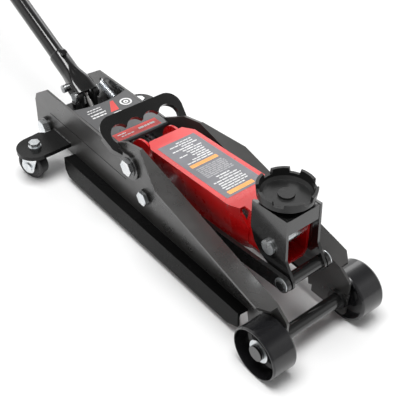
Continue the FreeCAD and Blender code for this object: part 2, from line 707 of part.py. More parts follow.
ARM_STATIONS = [
    # distance ahead of A, half width at the top, top, waist half width, waist, foot half width, foot
    ("13", "tail_half", "40.5", "tail_half", "4", "tail_half", "-2"),
    ("32", "arm_half", "42", "waist_half", "-2", "tail_half", "-6"),
    ("110", "arm_half", "46", "waist_half", "-6", "tail_half", "-17"),
    ("185", "arm_half", "50.5", "waist_half", "-1", "tail_half - 2", "-27"),
    ("206", "arm_half", "51.5", "waist_half", "0", "tail_half - 3", "-25"),
    ("240", "tip_half", "52.5", "tip_half", "-5", "tip_half - 4", "-15"),
    ("293", "tip_half", "52.5", "tip_half", "-4", "tip_half - 7", "-13"),
]


def arm_section(body, station, wall, grow):
    """Cross section of the arm; wall moves it inward, and the foot is left open or closed."""
    ahead, top_half, top, waist_half, waist, foot_half, foot = station
    right = [
        ("(%s - %s)" % (top_half, wall), "arm_z + %s - %s" % (top, wall)),
        ("(%s - %s)" % (waist_half, wall), "arm_z + %s" % waist),
        ("(%s - %s)" % (foot_half, wall), "arm_z + %s + %s" % (foot, grow)),
    ]
    left = [("-" + y, z) for y, z in reversed(right)]
    return outline(sketch_on(body, "YZ_Plane", "arm_x + " + ahead), right + left)


def lift_arm():
    body = body_named("lift_arm")
    loft(body, [arm_section(body, station, "0", "0") for station in ARM_STATIONS])
    hollow = body.newObject("PartDesign::SubtractiveLoft", "arm_hollow")
    ends = ["12"] + [station[0] for station in ARM_STATIONS[1:-1]] + ["294"]
    floors = ["-9", "-9", "-9", "-9", "arm_t", "arm_t", "arm_t"]
    inner = []
    for ahead, station, floor in zip(ends, ARM_STATIONS, floors):
        inner.append(arm_section(body, (ahead,) + station[1:], "arm_t", floor))
    hollow.Profile = inner[0]
    hollow.Sections = inner[1:]
    hollow.Ruled = True
    doc.recompute()
    crank = CRANK
    for side in (-1, 1):
        upright_disc(body, "arm_x", "arm_z", "lug_r", "tail_half - arm_t", "tail_half", side)
        web = [(crank[0] + " - crank_end_r", crank[1]), (crank[0] + " + crank_end_r", crank[1]),
               ("arm_x + 44", "arm_z - 2"), ("arm_x + 44", "arm_z + 30"), ("arm_x - lug_r", "arm_z")]
        upright_plate(body, web, "tail_half - arm_t", "tail_half", side)
        upright_disc(body, crank[0], crank[1], "crank_end_r", "tail_half - arm_t", "tail_half", side)
    arm_notches(body)
    cross_hole(body, "arm_x", "arm_z", "tube_r")
    cross_hole(body, "arm_x + reach_x", "arm_z + reach_z", "pin_r + fit")
    cross_hole(body, crank[0], crank[1], "crank_pin_r")
    cross_hole(body, "arm_x", "arm_z - spring_drop", "spring_pin_r")


def arm_notches(body):
    """Clear the space that the bracket's cheeks sweep beside the narrow front end."""
    for side in (-1, 1):
        swept = [("arm_x + notch_x", "arm_z + 70"), ("arm_x + notch_x", "arm_z + 44"),
                 ("arm_x + notch_x + 12", "arm_z + 22"), ("arm_x + notch_x + 12", "arm_z - 40"),
                 ("arm_x + 300", "arm_z - 40"), ("arm_x + 300", "arm_z + 70")]
        inner, outer = "tip_half", "arm_half + 9"
        offset = "-(%s)" % inner if side > 0 else outer
        sketch = outline(sketch_on(body, "XZ_Plane", offset), swept)
        pocket(body, sketch, "(%s) - (%s)" % (outer, inner))


def arm_fittings():
    half = "tail_half - arm_t"
    tube = ring_y("arm_x", "arm_z", "tube_r", "shaft_r + fit", "-tail_half - 1", "2 * tail_half + 2")
    node("arm_pivot_tube", tube)
    crank = CRANK
    node("crank_pin", bar_y(crank[0], crank[1], "crank_pin_r", "-tail_half", "2 * tail_half"))
    both_sides("return_spring_pins", lambda at: fuse(
        bar_y("arm_x", "arm_z - spring_drop", "spring_pin_r", at(half, "tail_half + 9"), "9 + arm_t"),
        bar_y("arm_x", "arm_z - spring_drop", "spring_pin_r + 2", at("tail_half + 7", "tail_half + 9"), "2")))


def arm_pivot():
    node("arm_pivot_shaft", bar_y("arm_x", "arm_z", "shaft_r", "-pivot_head_y", "2 * pivot_head_y"))
    both_sides("arm_pivot_bolts", lambda at: hex_y(
        "arm_x", "arm_z", "24", at("pivot_head_y", "pivot_head_y + pivot_head_t"), "pivot_head_t"))
    rest = "grab_leg_y + grab_t"
    both_sides("arm_pivot_washers", lambda at: ring_y(
        "arm_x", "arm_z", "16", "shaft_r", at(rest, "pivot_head_y"), "pivot_head_y - grab_leg_y - grab_t"))


# ---- saddle bracket, links, saddle ----------------------------------------------------------

POINT_B = ("arm_x + reach_x", "arm_z + reach_z")
POINT_C = ("arm_x + reach_x + drop_x", "arm_z + reach_z - drop_z")
POINT_D = ("arm_x + drop_x", "arm_z - drop_z")


def saddle_bracket():
    body = body_named("saddle_bracket")
    c_x, c_z = POINT_C
    back_top = "bracket_top - bracket_fall"
    cheek = [
        ("bracket_back", back_top), ("bracket_front", "bracket_top"), ("bracket_front + 3.5", "arm_z + 18"),
        (c_x + " + lug_c_r - 0.6", c_z + " + 3.5"), (c_x, c_z), (c_x + " - 4.5", c_z + " - lug_c_r + 1"),
        ("bracket_back + 21", "arm_z"), ("bracket_back + 8", "arm_z + 13"), ("bracket_back", "arm_z + 34"),
    ]
    inner = "cheek_out - sheet_t"
    for side in (-1, 1):
        sketch = upright_plate(body, cheek, inner, "cheek_out", side)
        round_corners(body, sketch, [2, 6, 7, 8], "7")
        upright_disc(body, c_x, c_z, "lug_c_r", inner, "cheek_out", side)
    low = "bracket_top - apron"
    front = [("bracket_front - sheet_t", low), ("bracket_front + 0.6", low),
             ("bracket_front - 0.4", "bracket_top - 1"), ("bracket_front - sheet_t", "bracket_top - 1")]
    upright_plate(body, front, "-(%s)" % inner, inner, -1)
    roof = [("bracket_back + 2", back_top + " - 5"), ("bracket_front - 2", "bracket_top - 5"),
            ("bracket_front - 2", "bracket_top - 1"), ("bracket_back + 2", back_top + " - 1")]
    upright_plate(body, roof, "-(%s)" % inner, inner, -1)
    root = "bracket_top - bracket_fall - boss_root"
    collar = circle(sketch_on(body, "XY_Plane", root), "saddle_x", "0", "stem_r + boss_wall")
    pad(body, collar, "saddle_z - air - (%s)" % root)
    stem = circle(sketch_on(body, "XY_Plane", "saddle_z"), "saddle_x", "0", "stem_r + fit")
    pocket(body, stem, "30")
    cross_hole(body, POINT_B[0], POINT_B[1], "pin_r")
    cross_hole(body, c_x, c_z, "link_pin_r")


def bracket_pins():
    (b_x, b_z), (c_x, c_z) = POINT_B, POINT_C
    heads = [bar_y(b_x, b_z, "pin_r + 3", start, "4") for start in ("-cheek_out - 4", "cheek_out")]
    node("bracket_pin", fuse(bar_y(b_x, b_z, "pin_r", "-cheek_out - 1", "2 * cheek_out + 2"), *heads))
    outer = "link_in + link_t"
    node("link_pin", fuse(
        bar_y(c_x, c_z, "link_pin_r", "-(%s) - 4" % outer, "2 * (%s) + 8" % outer),
        bar_y(c_x, c_z, "link_pin_r + 2", "-cheek_out + sheet_t", "2 * cheek_out - 2 * sheet_t")))
    both_sides("link_pin_clips", lambda at: ring_y(
        c_x, c_z, "link_pin_r + 4", "link_pin_r", at(outer + " + 0.6", outer + " + 2.1"), "1.5"))


def link_bars():
    length = "sqrt(reach_x ^ 2 + reach_z ^ 2)"
    slope = "-atan(reach_z / reach_x)"
    for name, side in (("link_bar_right", -1), ("link_bar_left", 1)):
        body = body_named(name, x="arm_x + drop_x", z="arm_z - drop_z", axis=vec(0, 1, 0), angle=slope)
        inner, outer = "link_in", "link_in + link_t"
        blade = [("0", "-link_half"), (length, "-link_half"), (length, "link_half"), ("0", "link_half")]
        upright_plate(body, blade, inner, outer, side)
        for along in ("0", length):
            upright_disc(body, along, "0", "link_half", inner, outer, side)
        cross_hole(body, "0", "0", "link_bolt_r + fit", "60")
        cross_hole(body, length, "0", "link_pin_r + air", "60")


def link_bolts():
    d_x, d_z = POINT_D
    seat = "link_nut_y + link_nut_t"
    both_sides("link_bolts", lambda at: fuse(
        hex_y(d_x, d_z, "21", at(seat, seat + " + link_head_t"), "link_head_t"),
        bar_y(d_x, d_z, "link_bolt_r", at("link_in", seat), seat + " - link_in")))
    both_sides("link_bolt_nuts", lambda at: cut(
        hex_y(d_x, d_z, "23", at("link_nut_y", seat), "link_nut_t"),
        bar_y(d_x, d_z, "link_bolt_r", at("link_nut_y - 1", seat + " + 1"), "link_nut_t + 2")))


def saddle():
    body = body_named("saddle", x="saddle_x", z="saddle_z")
    profile = [
        ("0", "0"), ("saddle_foot_r", "0"), ("saddle_r - 1.5", "6"), ("saddle_r", "saddle_rim + tooth_rise"),
        ("saddle_r - cup_wall", "saddle_rim + tooth_rise"), ("saddle_r - cup_wall - 1.5", "cup_floor + 4"),
        ("saddle_foot_r - 1", "cup_floor"), ("stem_r + 2.5", "cup_floor"),
        ("stem_r + 2", "cup_floor + 3"), ("0", "cup_floor + 3"),
    ]
    revolve(body, outline(sketch_on(body, "XZ_Plane"), profile), "V_Axis")
    gap = outline(sketch_on(body, "YZ_Plane", "1.5 * saddle_r"), [
        ("-tooth_gap / 2 - 2", "saddle_rim + 20"), ("-tooth_gap / 2 + 2", "saddle_rim"),
        ("tooth_gap / 2 - 2", "saddle_rim"), ("tooth_gap / 2 + 2", "saddle_rim + 20")])
    feature = pocket(body, gap, "3 * saddle_r")
    pattern = body.newObject("PartDesign::PolarPattern", "tooth_gaps")
    pattern.Originals = [feature]
    pattern.Axis = ([f for f in body.Origin.OriginFeatures if f.Role == "Z_Axis"][0], [""])
    pattern.Angle = 360
    pattern.Occurrences = 6
    body.Tip = pattern
    doc.recompute()
    node("saddle_stem", fuse(
        bar_z("saddle_x", "0", "stem_r", "saddle_z - 18", "18"),
        bar_z("saddle_x", "0", "stem_r + 2", "saddle_z - 22", "4")))


# ---- handle ---------------------------------------------------------------------------------

LEAN = "-(90 - handle_deg)"


def handle_body(name):
    """A body drawn upright from the handle pivot; its placement leans it back to the handle's angle."""
    return body_named(name, x="pivot_x", z="pivot_z", axis=vec(0, 1, 0), angle=LEAN)


def handle_socket():
    """A tube whose lower end is pressed into a channel that straddles the pivot lugs."""
    body = handle_body("handle_socket")
    sleeve = [("sleeve_r - sleeve_t", "sleeve_low"), ("sleeve_r", "sleeve_low"), ("sleeve_r", "sleeve_top - 1"),
              ("sleeve_r - 1", "sleeve_top"), ("sleeve_r - sleeve_t", "sleeve_top")]
    revolve(body, outline(sketch_on(body, "XZ_Plane"), sleeve), "V_Axis")
    channel = outline(sketch_on(body, "XY_Plane", "-4"), [
        ("-10", "-fork_out"), ("hood_out", "-fork_out"), ("hood_out", "fork_out"), ("-10", "fork_out"),
        ("-10", "fork_in"), ("hood_in", "fork_in"), ("hood_in", "-fork_in"), ("-10", "-fork_in")])
    pad(body, channel, "hood_len")
    round_corners(body, channel, [1, 2], "7")
    for side in (-1, 1):
        lug = [("-12", "0"), ("-2", "0"), ("-2", "sleeve_low + 12"), ("-19", "sleeve_low + 2")]
        upright_plate(body, lug, "fork_in", "fork_out", side)
        upright_disc(body, "0", "0", "pivot_lug_r", "fork_in", "fork_out", side)
    for start in ("2 * fork_out", "-fork_out + 2"):
        taper = outline(sketch_on(body, "XZ_Plane", start), [
            ("hood_out + 1", "hood_len - hood_slope"), ("hood_out + 1", "hood_len"), ("5", "hood_len")])
        pocket(body, taper, "fork_out + 2")
    bore = circle(sketch_on(body, "XY_Plane", "sleeve_top"), "0", "0", "sleeve_r - sleeve_t")
    pocket(body, bore, "sleeve_top + 6")
    cross_hole(body, "0", "0", "pivot_pin_r + fit", "fork_out + 10")
    cross_hole(body, "-socket_bolt_back", "socket_bolt_at", "socket_bolt_r", "fork_out + 10")


def socket_fittings():
    both_sides("handle_pivot_bolts", lambda at: fuse(
        bar_y("pivot_x", "pivot_z", "pivot_pin_r", at("pivot_lug_in", "fork_out + 2"),
              "fork_out + 2 - pivot_lug_in"),
        bar_y("pivot_x", "pivot_z", "8", at("fork_out + 0.4", "fork_out + 4"), "3.6")))
    body = handle_body("socket_side_bolts")
    for side in (-1, 1):
        place = ("-socket_bolt_back", "socket_bolt_at")
        upright_disc(body, place[0], place[1], "socket_bolt_r", "fork_in + 0.1", "fork_out", side)
        upright_disc(body, place[0], place[1], "socket_bolt_r + 3", "fork_out", "fork_out + 6", side)
    body = handle_body("handle_lock_screw")
    shank = circle(sketch_on(body, "YZ_Plane", "sleeve_r - 1.9"), "0", "sleeve_top - 14", "3")
    pad(body, shank, "2.9")
    knob = circle(sketch_on(body, "YZ_Plane", "sleeve_r + 1"), "0", "sleeve_top - 14", "5.5")
    pad(body, knob, "6")


def tube_profile(inner, outer, low, high):
    return [(inner, low), (outer, low), (outer, high), (inner, high)]


def handle_tubes():
    gap = "sleeve_low + 6"
    body = handle_body("handle_lower_tube")
    lower = tube_profile("tube_out - tube_wall", "tube_out", gap, "joint_at")
    revolve(body, outline(sketch_on(body, "XZ_Plane"), lower), "V_Axis")
    body = handle_body("handle_joint_sleeve")
    ferrule = tube_profile("tube_out", "tube_out + 2", "joint_at - 38", "joint_at + 38")
    revolve(body, outline(sketch_on(body, "XZ_Plane"), ferrule), "V_Axis")
    body = handle_body("handle_upper_tube")
    upper = tube_profile("tube_out - tube_wall", "tube_out", "joint_at", "handle_end - 6")
    revolve(body, outline(sketch_on(body, "XZ_Plane"), upper), "V_Axis")
    body = handle_body("handle_grip")
    grip = [
        ("tube_out", "handle_end - grip_len"), ("grip_r + 1.5", "handle_end - grip_len"),
        ("grip_r + 1.5", "handle_end - grip_len + 5"), ("grip_r", "handle_end - grip_len + 9"),
        ("grip_r", "handle_end - 8"), ("grip_r - 3", "handle_end"), ("0", "handle_end"),
        ("0", "handle_end - 5"), ("tube_out", "handle_end - 5"),
    ]
    revolve(body, outline(sketch_on(body, "XZ_Plane"), grip), "V_Axis")
    body = handle_body("release_drive_cup")
    cup = [
        ("0", "7"), ("3.6", "6"), ("6", "3.6"), ("7", "1.5"), ("9", "1.5"), ("8", "5.5"), ("5", "9"),
        ("5", "sleeve_low + 6"), ("tube_out - tube_wall", "sleeve_low + 8"),
        ("tube_out - tube_wall", "sleeve_low + 13"), ("0", "sleeve_low + 13"),
    ]
    revolve(body, outline(sketch_on(body, "XZ_Plane"), cup), "V_Axis")


# ---- carry handle ---------------------------------------------------------------------------

def carry_handle():
    """A bail: a flat finger bar on two rimmed legs, which run in to the pivot bolts."""
    body = body_named("carry_handle", x="arm_x", z="arm_z", axis=vec(0, 1, 0), angle="grab_deg")
    cusp = "-grab_reach + grab_bar"
    leg = [("-grab_reach + 27", "grab_half"), ("-34", "grab_half - 4"), ("-20", "grab_leg_y + grab_t")]
    inner = [("-20", "grab_leg_y"), ("-34", "grab_leg_y"), (cusp, "grab_open")]
    half = [("-grab_reach", "grab_half")] + leg + inner
    other = [(x, "-(%s)" % y) for x, y in reversed(half)]
    sketch = outline(sketch_on(body, "XY_Plane", "-grab_t / 2"), half + other)
    pad(body, sketch, "grab_t")
    round_corners(body, sketch, [0, len(half + other) - 1], "24")
    fingers = [(cusp + " + 7.5", place + " * finger_gap") for place in ("-1.5", "-0.5", "0.5", "1.5")]
    for u, v in fingers:
        edge = circle(sketch_on(body, "XY_Plane", "-grab_lip"), u, v, "finger_r + grab_lip_t")
        pad(body, edge, "grab_lip")
    opening = outline(sketch_on(body, "XY_Plane", "grab_t"), [
        (cusp, "-grab_open"), ("-34", "-grab_leg_y"), ("-20", "-grab_leg_y"),
        ("-20", "grab_leg_y"), ("-34", "grab_leg_y"), (cusp, "grab_open")])
    pocket(body, opening, "2 * grab_lip + grab_t")
    for u, v in fingers:
        pocket(body, circle(sketch_on(body, "XY_Plane", "grab_t"), u, v, "finger_r"), "2 * grab_lip")
    for sign in ("-", ""):
        rim = leg + [("-20", "grab_leg_y"), ("-35", "grab_half - 4 - grab_t"),
                     ("-grab_reach + 27", "grab_half - grab_t")]
        wall = outline(sketch_on(body, "XY_Plane", "-grab_rim"), [(x, "%s(%s)" % (sign, y)) for x, y in rim])
        pad(body, wall, "grab_rim")
    for side in (-1, 1):
        eye = [("-32", "-grab_rim"), ("-32", "grab_t / 2"), ("-6", "grab_eye_r - 1"), ("-6", "-grab_eye_r + 1")]
        upright_plate(body, eye, "grab_leg_y", "grab_leg_y + grab_t", side)
        upright_disc(body, "0", "0", "grab_eye_r", "grab_leg_y", "grab_leg_y + grab_t", side)
    cross_hole(body, "0", "0", "shaft_r")


# ---- casters --------------------------------------------------------------------------------

def caster_bracket():
    body = body_named("caster_bracket_right")
    root = "-(face_y + 0.6)"
    outer = [("king_x - 26", root), ("king_x + 30", root), ("king_x + perch_r", "-king_y"),
             ("king_x - perch_r", "-king_y"), ("king_x - perch_r - 2", "-king_y + 26"),
             ("king_x - 26", "-face_y - 20")]
    sketch = outline(sketch_on(body, "XY_Plane", "perch_z - perch_lip"), outer)
    pad(body, sketch, "perch_lip")
    disc = circle(sketch_on(body, "XY_Plane", "perch_z - perch_lip"), "king_x", "-king_y", "perch_r")
    pad(body, disc, "perch_lip")
    inner = [("king_x - 26 + perch_wall", root), ("king_x + 30 - perch_wall", root),
             ("king_x + perch_r - perch_wall", "-king_y"), ("king_x - perch_r + perch_wall", "-king_y"),
             ("king_x - perch_r - 2 + perch_wall", "-king_y + 27"),
             ("king_x - 26 + perch_wall", "-face_y - 19")]
    under = outline(sketch_on(body, "XY_Plane", "perch_z - sheet_t"), inner)
    pocket(body, under, "perch_lip")
    hollow = sketch_on(body, "XY_Plane", "perch_z - sheet_t")
    circle(hollow, "king_x", "-king_y", "perch_r - perch_wall")
    pocket(body, hollow, "perch_lip")
    hole = circle(sketch_on(body, "XY_Plane", "perch_z + 2"), "king_x", "-king_y", "king_r")
    pocket(body, hole, "20")
    mirror_left("caster_bracket_left", body)


def caster_bolts():
    bolts = []
    for y in ("-king_y", "king_y"):
        bolts.append(fuse(
            hex_z("king_x", y, "17", "perch_z + 3", "7"), bar_z("king_x", y, "11", "perch_z", "3"),
            bar_z("king_x", y, "king_r", "caster_r * 2 + air", "perch_z + 6 - caster_r * 2")))
    group("caster_bolts", bolts)


def turned_caster_body(name, sign, **place):
    turn = "caster_turn" if sign == "-" else "-caster_turn"
    return body_named(name, y=sign + "king_y", axis=vec(0, 0, 1), angle=turn, **place)


def casters():
    for label, sign in (("right", "-"), ("left", "")):
        caster_fork("caster_fork_" + label, sign)
        body = turned_caster_body("caster_axle_" + label, sign, x="king_x")
        end = "caster_w / 2 + 1 + fork_leg_t"
        upright_disc(body, "-trail", "caster_r", "caster_pin_r", "-(%s)" % end, end, -1)
        for side in (-1, 1):
            upright_disc(body, "-trail", "caster_r", "2 * caster_pin_r", end, end + " + 2.4", side)
        caster_wheel("caster_wheel_" + label, sign)


def caster_fork(name, sign):
    top = "perch_z - sheet_t"
    body = turned_caster_body(name, sign, x="king_x")
    crown = circle(sketch_on(body, "XY_Plane", top + " - 3.4"), "0", "0", "20")
    pad(body, crown, "3")
    race = circle(sketch_on(body, "XY_Plane", top + " - 5.4"), "0", "0", "16")
    pad(body, race, "2.2")
    near, far = "caster_w / 2 + 1", "caster_w / 2 + 1 + fork_leg_t"
    for side in (-1, 1):
        leg = [("-trail - 12", "caster_r - 3"), ("-trail + 12", "caster_r - 3"), ("15", top + " - 3.4"),
               ("-18", top + " - 3.4")]
        upright_plate(body, leg, near, far, side)
        upright_disc(body, "-trail", "caster_r", "fork_end_r", near, far, side)
    hole = circle(sketch_on(body, "XY_Plane", top), "0", "0", "king_r + fit")
    pocket(body, hole, "12")
    cross_hole(body, "-trail", "caster_r", "caster_pin_r", "30")


def caster_wheel(name, sign):
    body = turned_caster_body(name, sign, x="king_x - trail * cos(caster_turn)", z="caster_r")
    bind(body, Placement__Base__y=sign + "(king_y + trail * sin(caster_turn))")
    half = "caster_w / 2"
    tread = [
        ("-%s" % half, "caster_pin_r + fit"), (half, "caster_pin_r + fit"), (half, "9"), (half + " - 3", "10"),
        (half + " - 3", "caster_r - 7"), (half + " - 1", "caster_r - 5"), (half + " - 1", "caster_r - 2"),
        (half + " - 3", "caster_r"), ("-%s + 3" % half, "caster_r"), ("-%s + 1" % half, "caster_r - 2"),
        ("-%s + 1" % half, "caster_r - 5"), ("-%s + 3" % half, "caster_r - 7"),
        ("-%s + 3" % half, "10"), ("-%s" % half, "9"),
    ]
    revolve(body, outline(sketch_on(body, "YZ_Plane"), tread), "H_Axis")


# ---- springs --------------------------------------------------------------------------------

def coil(x, y, z, length, rotation):
    """A close-wound spring: a circle swept along a helix."""
    helix = doc.addObject("Part::Helix", "helix")
    bind(helix, Pitch="coil_pitch", Height=length, Radius="coil_r")
    round_wire = doc.addObject("Part::Circle", "wire")
    bind(round_wire, Radius="wire_r", Placement__Base__x="coil_r")
    round_wire.Placement.Rotation = FreeCAD.Rotation(vec(1, 0, 0), 90)
    sweep = doc.addObject("Part::Sweep", "coil")
    sweep.Sections = [round_wire]
    sweep.Spine = (helix, ["Edge1"])
    sweep.Solid = True
    sweep.Frenet = True
    sweep.Placement = FreeCAD.Placement(vec(0, 0, 0), rotation)
    return bind(sweep, Placement__Base__x="axle_x + " + x, Placement__Base__y=y, Placement__Base__z=z)


def springs():
    coils = [coil("barrel_back + 42", y, "arm_z - spring_drop", "96", TO_X)
             for y in ("-tail_half - spring_gap", "tail_half + spring_gap")]
    group("arm_return_springs", coils)
    slant = FreeCAD.Rotation(vec(0, 1, 0), 103.6)
    node("handle_spring", coil("pivot_x - 11", "41", "plunger_top + 6", "40", slant))


# ---- build ----------------------------------------------------------------------------------

def check(name, thing):
    if {"Invalid", "Error"} & set(thing.State):
        raise RuntimeError("%s has failed: %s" % (name, thing.State))
    if thing.Shape.isNull() or not thing.Shape.isValid():
        raise RuntimeError("%s has no valid shape" % name)


def main():
    fill_sheet()
    side_plates()
    cover()
    rear_frame()
    front_axle()
    front_wheels()
    power_unit_base()
    hydraulics()
    unit_fittings()
    ram_yoke()
    lift_arm()
    arm_fittings()
    arm_pivot()
    saddle_bracket()
    bracket_pins()
    link_bars()
    link_bolts()
    saddle()
    handle_socket()
    socket_fittings()
    handle_tubes()
    carry_handle()
    caster_bracket()
    caster_bolts()
    casters()
    springs()
    doc.recompute()
    for thing in doc.Objects:
        if {"Invalid", "Error"} & set(thing.State):
            raise RuntimeError("%s has failed: %s" % (thing.Name, thing.State))
    for name, thing in NODES.items():
        check(name, thing)
    os.makedirs("parts", exist_ok=True)
    for name, thing in NODES.items():
        thing.Shape.exportStep("parts/%s.step" % name)
        box = thing.Shape.BoundBox
        print("%-24s %d solid(s) x %.1f..%.1f y %.1f..%.1f z %.1f..%.1f" % (
            name, len(thing.Shape.Solids), box.XMin, box.XMax, box.YMin, box.YMax, box.ZMin, box.ZMax))


main()
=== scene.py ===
import json
import math
import random

import bpy
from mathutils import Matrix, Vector


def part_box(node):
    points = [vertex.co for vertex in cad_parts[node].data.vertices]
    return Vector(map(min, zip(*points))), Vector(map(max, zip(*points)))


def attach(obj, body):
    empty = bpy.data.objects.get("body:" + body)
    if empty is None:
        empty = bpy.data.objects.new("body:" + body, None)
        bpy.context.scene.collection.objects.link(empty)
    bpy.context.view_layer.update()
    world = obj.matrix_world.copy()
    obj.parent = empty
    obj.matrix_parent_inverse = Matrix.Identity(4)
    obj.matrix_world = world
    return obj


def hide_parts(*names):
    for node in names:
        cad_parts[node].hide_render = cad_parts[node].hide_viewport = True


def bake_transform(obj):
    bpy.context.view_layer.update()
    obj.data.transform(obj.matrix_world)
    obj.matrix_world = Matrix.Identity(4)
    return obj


random.seed(7)
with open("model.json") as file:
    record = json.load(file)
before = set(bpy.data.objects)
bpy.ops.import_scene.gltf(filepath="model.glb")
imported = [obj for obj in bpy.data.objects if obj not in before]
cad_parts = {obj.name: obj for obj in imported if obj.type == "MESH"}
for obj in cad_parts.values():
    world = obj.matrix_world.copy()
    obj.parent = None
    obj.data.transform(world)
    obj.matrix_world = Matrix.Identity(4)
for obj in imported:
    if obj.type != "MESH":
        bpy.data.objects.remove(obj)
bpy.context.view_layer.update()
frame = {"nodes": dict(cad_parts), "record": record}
MM = 0.001
AXLE = sum(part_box("front_axle"), Vector()) / 2


# ---- materials ------------------------------------------------------------------------------

class Shader:
    """A Principled material with short calls for the nodes that feed it."""

    def __init__(self, name, **sockets):
        self.material = bpy.data.materials.new(name)
        self.material.use_nodes = True
        self.tree = self.material.node_tree
        self.shader = self.tree.nodes["Principled BSDF"]
        for socket, value in sockets.items():
            self.shader.inputs[socket.replace("_", " ")].default_value = value
        self.place = self.node("ShaderNodeTexCoord").outputs["Object"]

    def node(self, kind, **values):
        node = self.tree.nodes.new(kind)
        for key, value in values.items():
            if hasattr(node, key):
                setattr(node, key, value)
            else:
                node.inputs[key.replace("_", " ")].default_value = value
        return node

    def link(self, output, node, socket):
        self.tree.links.new(output, node.inputs[socket])

    def to_shader(self, output, socket):
        self.tree.links.new(output, self.shader.inputs[socket])

    def noise(self, scale, detail=4.0, stretch=(1, 1, 1), rough=0.55):
        mapping = self.node("ShaderNodeMapping")
        mapping.inputs["Scale"].default_value = stretch
        self.link(self.place, mapping, "Vector")
        noise = self.node("ShaderNodeTexNoise", Scale=scale, Detail=detail, Roughness=rough)
        self.link(mapping.outputs["Vector"], noise, "Vector")
        return noise.outputs["Fac"]

    def span(self, output, low, high, to_low=0.0, to_high=1.0):
        ranged = self.node("ShaderNodeMapRange")
        for socket, value in (("From Min", low), ("From Max", high), ("To Min", to_low), ("To Max", to_high)):
            ranged.inputs[socket].default_value = value
        self.link(output, ranged, "Value")
        return ranged.outputs["Result"]

    def mix(self, fac, a, b):
        """Mix two colours; each is a colour or a node's output."""
        mixer = self.node("ShaderNodeMix", data_type="RGBA")
        self.link(fac, mixer, 0)
        for index, colour in ((6, a), (7, b)):
            if isinstance(colour, tuple):
                mixer.inputs[index].default_value = (*colour, 1.0)
            else:
                self.tree.links.new(colour, mixer.inputs[index])
        return mixer.outputs[2]

    def maths(self, operation, a, b=0.0):
        maths = self.node("ShaderNodeMath", operation=operation)
        for index, value in ((0, a), (1, b)):
            if isinstance(value, float):
                maths.inputs[index].default_value = value
            else:
                self.tree.links.new(value, maths.inputs[index])
        return maths.outputs[0]

    def bump(self, height, strength, distance):
        bump = self.node("ShaderNodeBump", Strength=strength, Distance=distance)
        self.link(height, bump, "Height")
        return bump

    def edges(self, radius=0.9 * MM):
        """A mask that is 1 along the object's sharp edges."""
        rounded = self.node("ShaderNodeBevel", samples=4, Radius=radius)
        plain = self.node("ShaderNodeNewGeometry").outputs["Normal"]
        dot = self.node("ShaderNodeVectorMath", operation="DOT_PRODUCT")
        self.link(rounded.outputs["Normal"], dot, 0)
        self.link(plain, dot, 1)
        return self.span(dot.outputs["Value"], 0.995, 0.86)


def scaled(colour, factor):
    """A lighter or darker colour."""
    return tuple(channel * factor for channel in colour)


def paint(name, colour, edge_colour, rough=0.2, coat=0.6, peel=0.05, shine=0.5):
    """Sprayed enamel: slight orange peel, uneven gloss, and thin paint rubbed along the edges."""
    s = Shader(name, Coat_Weight=coat, Coat_Roughness=0.08, Specular_IOR_Level=shine)
    blotch = s.noise(9.0, 5.0)
    fine = s.noise(60.0, 3.0)
    shade = s.mix(s.span(blotch, 0.35, 0.7), scaled(colour, 0.82), scaled(colour, 1.18))
    worn = s.maths("MULTIPLY", s.edges(), s.span(s.noise(140.0, 5.0), 0.42, 0.62))
    s.to_shader(s.mix(s.maths("MULTIPLY", worn, 0.55), shade, edge_colour), "Base Color")
    broad_gloss = s.span(blotch, 0.3, 0.75, rough - 0.04, rough + 0.06)
    gloss = s.maths("ADD", broad_gloss, s.span(fine, 0.3, 0.7, 0.0, 0.04))
    gloss = s.maths("ADD", gloss, s.maths("MULTIPLY", worn, 0.22))
    s.to_shader(gloss, "Roughness")
    orange_peel = s.bump(s.noise(420.0, 2.0), peel, 0.25 * MM)
    s.to_shader(orange_peel.outputs["Normal"], "Normal")
    return s.material


def plated(name, colour, tint, rough=0.28):
    """Bright zinc plate: cool and warm patches and fine rubbing marks."""
    s = Shader(name, Metallic=1.0)
    patch = s.noise(70.0, 4.0)
    grain = s.noise(900.0, 3.0, stretch=(1, 0.15, 1))
    bright = s.mix(s.span(patch, 0.35, 0.68), colour, tint)
    s.to_shader(s.mix(s.edges(0.5 * MM), bright, tuple(min(1.0, c * 1.12) for c in colour)), "Base Color")
    s.to_shader(s.span(patch, 0.3, 0.7, rough - 0.07, rough + 0.1), "Roughness")
    s.to_shader(s.bump(grain, 0.12, 0.1 * MM).outputs["Normal"], "Normal")
    return s.material


def casting(name, colour):
    """Sand-cast iron under black paint: pitted and uneven."""
    s = Shader(name, Specular_IOR_Level=0.35)
    pits = s.noise(260.0, 6.0)
    blotch = s.noise(24.0, 4.0)
    worn = s.maths("MULTIPLY", s.edges(1.2 * MM), s.span(pits, 0.4, 0.6))
    base = s.mix(s.span(blotch, 0.3, 0.7), scaled(colour, 0.75), scaled(colour, 1.3))
    s.to_shader(s.mix(s.maths("MULTIPLY", worn, 0.5), base, (0.09, 0.088, 0.085)), "Base Color")
    s.to_shader(s.span(blotch, 0.3, 0.75, 0.24, 0.42), "Roughness")
    s.to_shader(s.bump(pits, 0.25, 0.4 * MM).outputs["Normal"], "Normal")
    return s.material


